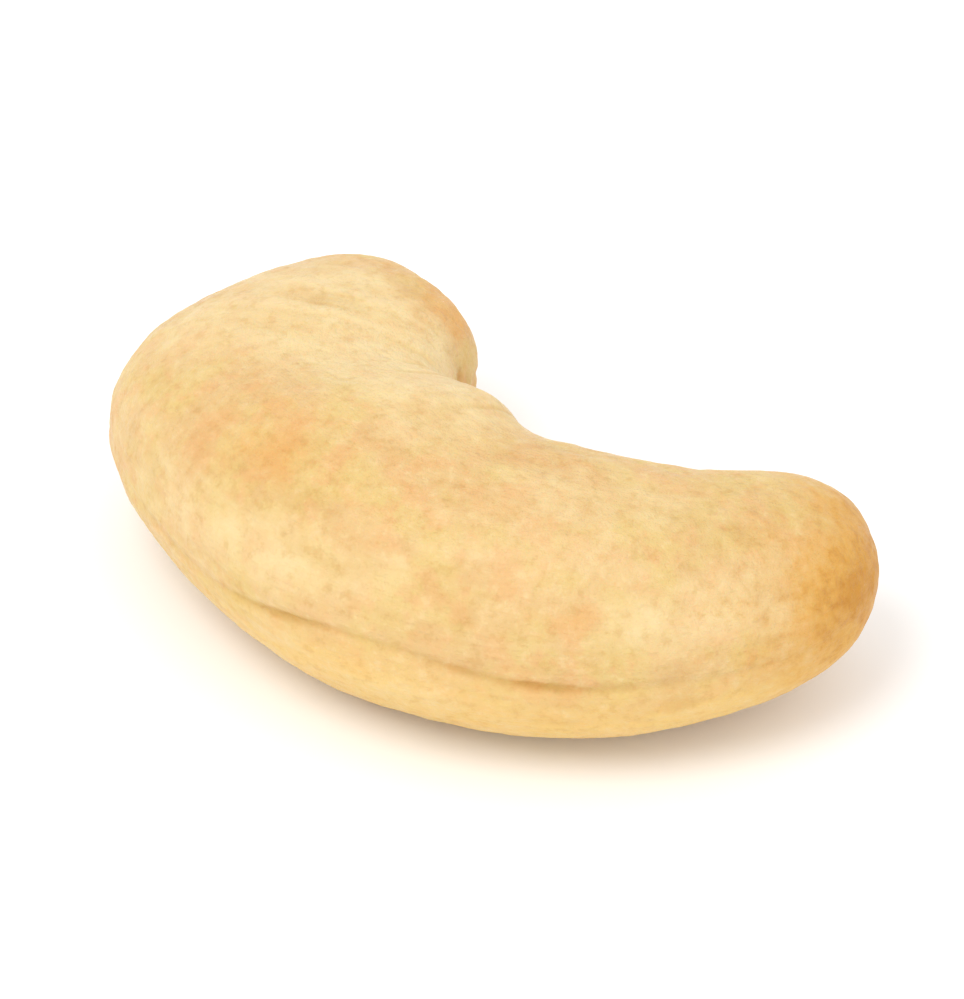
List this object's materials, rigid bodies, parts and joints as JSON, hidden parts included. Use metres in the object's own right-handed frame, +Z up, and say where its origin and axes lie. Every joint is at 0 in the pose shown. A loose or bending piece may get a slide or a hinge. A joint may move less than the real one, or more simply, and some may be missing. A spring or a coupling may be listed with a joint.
{
  "type": "roasted cashew nut",
  "caption": "Whole roasted cashew kernel, kidney shaped, with a fat head, a slender tail and a seam between its two seed leaves, lying on its cheek.",
  "frame": {"origin": "middle of the bounding box at its bottom, on the surface that the kernel lies on", "axes": "+X from the fat head to the slender tail, +Y towards the hollow side of the bend, +Z up through the two seed leaves"},
  "size_m": [0.0278, 0.0176, 0.0096],
  "materials": {
    "roasted_kernel": "satin, dry roasted"
  },
  "bodies": {
    "root": {"cashew_kernel": "roasted_kernel"}
  },
  "joints": []
}
